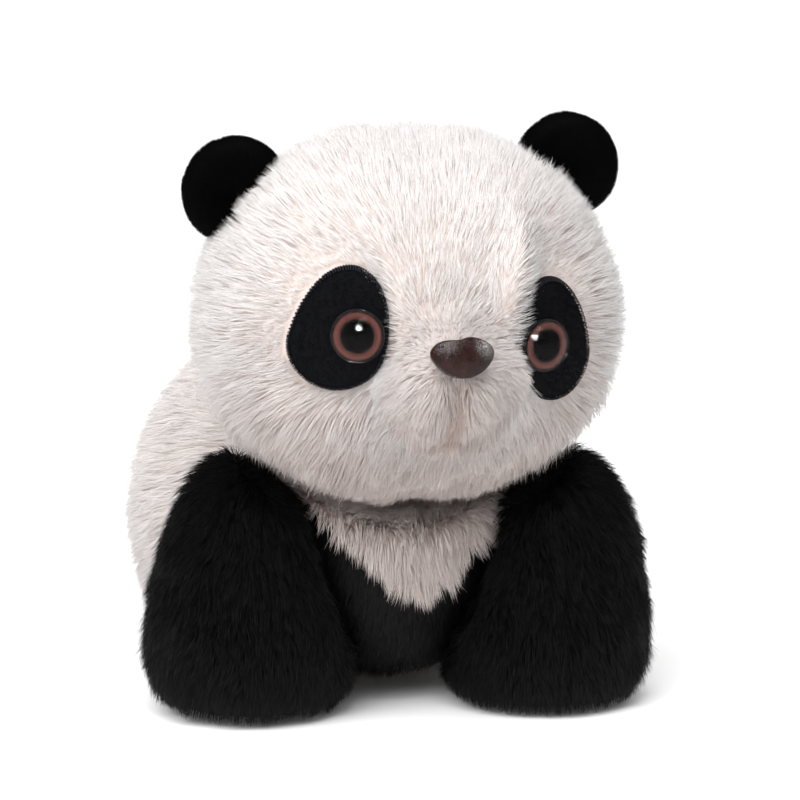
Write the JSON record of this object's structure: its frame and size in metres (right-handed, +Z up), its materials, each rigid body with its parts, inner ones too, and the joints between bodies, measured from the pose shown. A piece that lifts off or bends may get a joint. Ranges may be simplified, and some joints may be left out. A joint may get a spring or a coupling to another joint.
{
  "type": "plush panda",
  "caption": "Crouching plush panda with a turning, nodding head, flexing legs, ears and tail, domed eyes and a moulded nose.",
  "frame": {"origin": "on the floor under the middle of the whole toy", "axes": "+Z up, the face looks along -Y, the animal's left side is +X"},
  "size_m": [0.1782, 0.2619, 0.2098],
  "materials": {
    "white_fur": "long soft pile",
    "black_fur": "long soft pile",
    "black_nap": "short velvety pile",
    "patch_felt": "very short nap",
    "stuffing": "loose polyester fibre",
    "clear_plastic": "polished clear dome",
    "iris_brown": "painted, under the dome",
    "black_plastic": "smooth",
    "nose_brown": "pebbled",
    "washer_plastic": "moulded"
  },
  "bodies": {
    "body": {"body_back_left": "white_fur", "body_back_right": "white_fur", "body_belly": "white_fur", "body_stuffing": "stuffing", "chest_band": "black_fur", "chest_bib": "white_fur", "chest_stuffing": "stuffing"},
    "neck": {"neck_pad": "white_fur"},
    "head": {"eye_base_left": "black_plastic", "eye_base_right": "black_plastic", "eye_iris_left": "iris_brown", "eye_iris_right": "iris_brown", "eye_lens_left": "clear_plastic", "eye_lens_right": "clear_plastic", "eye_patch_left": "patch_felt", "eye_patch_right": "patch_felt", "eye_pupil_left": "black_plastic", "eye_pupil_right": "black_plastic", "eye_washer_left": "washer_plastic", "eye_washer_right": "washer_plastic", "head_chin": "white_fur", "head_gusset": "white_fur", "head_side_left": "white_fur", "head_side_right": "white_fur", "head_stuffing": "stuffing", "muzzle_left": "white_fur", "muzzle_right": "white_fur", "muzzle_stuffing": "stuffing", "nose": "nose_brown", "nose_washer": "washer_plastic"},
    "ear_left": {"ear_back_left": "black_nap", "ear_front_left": "black_nap", "ear_wadding_left": "stuffing"},
    "ear_right": {"ear_back_right": "black_nap", "ear_front_right": "black_nap", "ear_wadding_right": "stuffing"},
    "front_leg_left": {"front_leg_inner_left": "black_fur", "front_leg_outer_left": "black_fur", "front_leg_stuffing_left": "stuffing", "front_sole_left": "black_fur"},
    "front_leg_right": {"front_leg_inner_right": "black_fur", "front_leg_outer_right": "black_fur", "front_leg_stuffing_right": "stuffing", "front_sole_right": "black_fur"},
    "hind_leg_left": {"hind_leg_cover_left": "black_fur", "hind_leg_stuffing_left": "stuffing", "hind_sole_left": "black_fur"},
    "hind_leg_right": {"hind_leg_cover_right": "black_fur", "hind_leg_stuffing_right": "stuffing", "hind_sole_right": "black_fur"},
    "tail": {"tail_cover": "white_fur", "tail_stuffing": "stuffing"}
  },
  "joints": [
    {"name": "neck_turn", "type": "hinge", "parent": "body", "child": "neck", "pos_m": [0, -0.0555, 0.1415], "axis": [0, 0, 1], "range_deg": [-20, 20], "stiffness_Nm_per_rad": 1.5},
    {"name": "head_nod", "type": "hinge", "parent": "neck", "child": "head", "pos_m": [0, -0.0555, 0.1415], "axis": [1, 0, 0], "range_deg": [-8, 12], "stiffness_Nm_per_rad": 1.5},
    {"name": "ear_fold_left", "type": "hinge", "parent": "head", "child": "ear_left", "pos_m": [0.0529, -0.0505, 0.18603], "axis": [0.6439, 0, -0.7651], "range_deg": [-15, 20], "stiffness_Nm_per_rad": 0.02},
    {"name": "ear_fold_right", "type": "hinge", "parent": "head", "child": "ear_right", "pos_m": [-0.05642, -0.0505, 0.18287], "axis": [0.5914, 0, 0.8064], "range_deg": [-15, 20], "stiffness_Nm_per_rad": 0.02},
    {"name": "front_leg_flex_left", "type": "hinge", "parent": "body", "child": "front_leg_left", "pos_m": [0.053, -0.018, 0.058], "axis": [-1, 0, 0], "range_deg": [-8, 8], "stiffness_Nm_per_rad": 2},
    {"name": "front_leg_flex_right", "type": "hinge", "parent": "body", "child": "front_leg_right", "pos_m": [-0.053, -0.018, 0.058], "axis": [-1, 0, 0], "range_deg": [-8, 8], "stiffness_Nm_per_rad": 2},
    {"name": "hind_leg_flex_left", "type": "hinge", "parent": "body", "child": "hind_leg_left", "pos_m": [0.038, 0.042, 0.054], "axis": [1, 0, 0], "range_deg": [-8, 15], "stiffness_Nm_per_rad": 2},
    {"name": "hind_leg_flex_right", "type": "hinge", "parent": "body", "child": "hind_leg_right", "pos_m": [-0.038, 0.042, 0.054], "axis": [1, 0, 0], "range_deg": [-8, 15], "stiffness_Nm_per_rad": 2},
    {"name": "tail_flex", "type": "hinge", "parent": "body", "child": "tail", "pos_m": [0, 0.1153, 0.08068], "axis": [1, 0, 0], "range_deg": [-15, 15], "stiffness_Nm_per_rad": 0.05}
  ]
}
